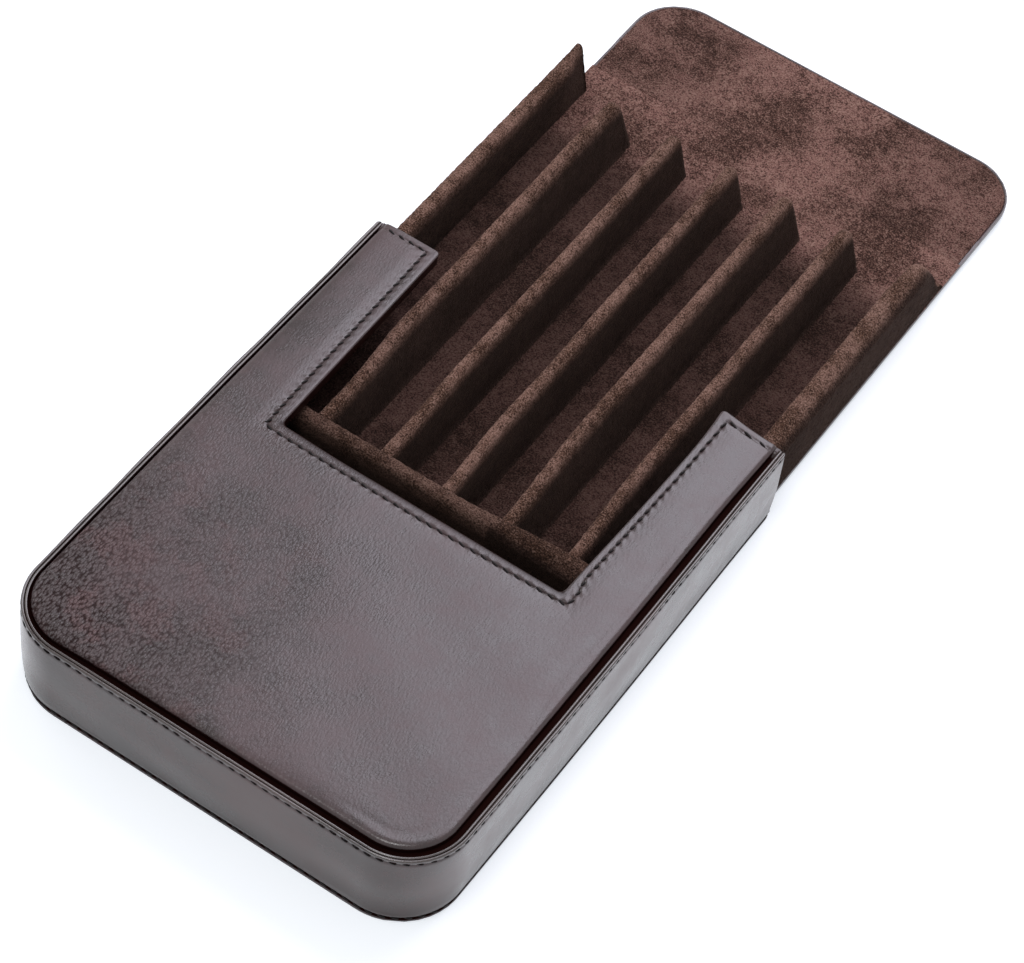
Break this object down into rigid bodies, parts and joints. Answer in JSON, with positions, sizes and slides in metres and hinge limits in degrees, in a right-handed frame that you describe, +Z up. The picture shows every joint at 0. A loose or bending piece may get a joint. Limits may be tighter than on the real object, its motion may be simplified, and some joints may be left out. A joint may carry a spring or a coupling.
{
  "type": "leather pen case",
  "caption": "Hard leather slip case for pens: a sleeve with a cut-out front and a sliding suede tray with dividers and a fold-over flap.",
  "frame": {"origin": "centre of the sleeve's back face, on which the case lies", "axes": "+X to the right across the case, +Y along the pens towards the sleeve's mouth and the flap, +Z up out of the padded front"},
  "size_m": [0.13, 0.3119, 0.0298],
  "materials": {
    "brown_leather": "smooth aniline dyed hide, satin",
    "brown_suede": "napped suede",
    "greyboard": "matt",
    "foam": "soft sheet foam"
  },
  "bodies": {
    "sleeve": {"sleeve_band_leather": "brown_leather", "sleeve_band_padding": "foam", "sleeve_band_board": "greyboard", "sleeve_band_lining": "brown_suede", "sleeve_back_leather": "brown_leather", "sleeve_back_board": "greyboard", "sleeve_back_lining": "brown_suede", "sleeve_front_leather": "brown_leather", "sleeve_front_padding": "foam", "sleeve_front_board": "greyboard", "sleeve_front_lining": "brown_suede"},
    "tray": {"tray_back_leather": "brown_leather", "tray_floor_board": "greyboard", "tray_floor_lining": "brown_suede", "tray_wall_board": "greyboard", "tray_wall_cover": "brown_suede", "divider_1_board": "greyboard", "divider_1_cover": "brown_suede", "divider_2_board": "greyboard", "divider_2_cover": "brown_suede", "divider_3_board": "greyboard", "divider_3_cover": "brown_suede", "divider_4_board": "greyboard", "divider_4_cover": "brown_suede", "divider_5_board": "greyboard", "divider_5_cover": "brown_suede"},
    "spine": {"spine_leather": "brown_leather", "spine_board": "greyboard", "spine_lining": "brown_suede"},
    "flap": {"flap_leather": "brown_leather", "flap_board": "greyboard", "flap_lining": "brown_suede"}
  },
  "joints": [
    {"name": "tray_slide", "type": "slide", "parent": "sleeve", "child": "tray", "axis": [0, 1, 0], "range_m": [-0.0975, 0.068]},
    {"name": "spine_fold", "type": "hinge", "parent": "tray", "child": "spine", "pos_m": [0, 0.1803, 0.0042], "axis": [1, 0, 0], "range_deg": [0, 90]},
    {"name": "flap_fold", "type": "hinge", "parent": "spine", "child": "flap", "pos_m": [0, 0.19985, 0.0042], "axis": [1, 0, 0], "range_deg": [0, 90]}
  ]
}
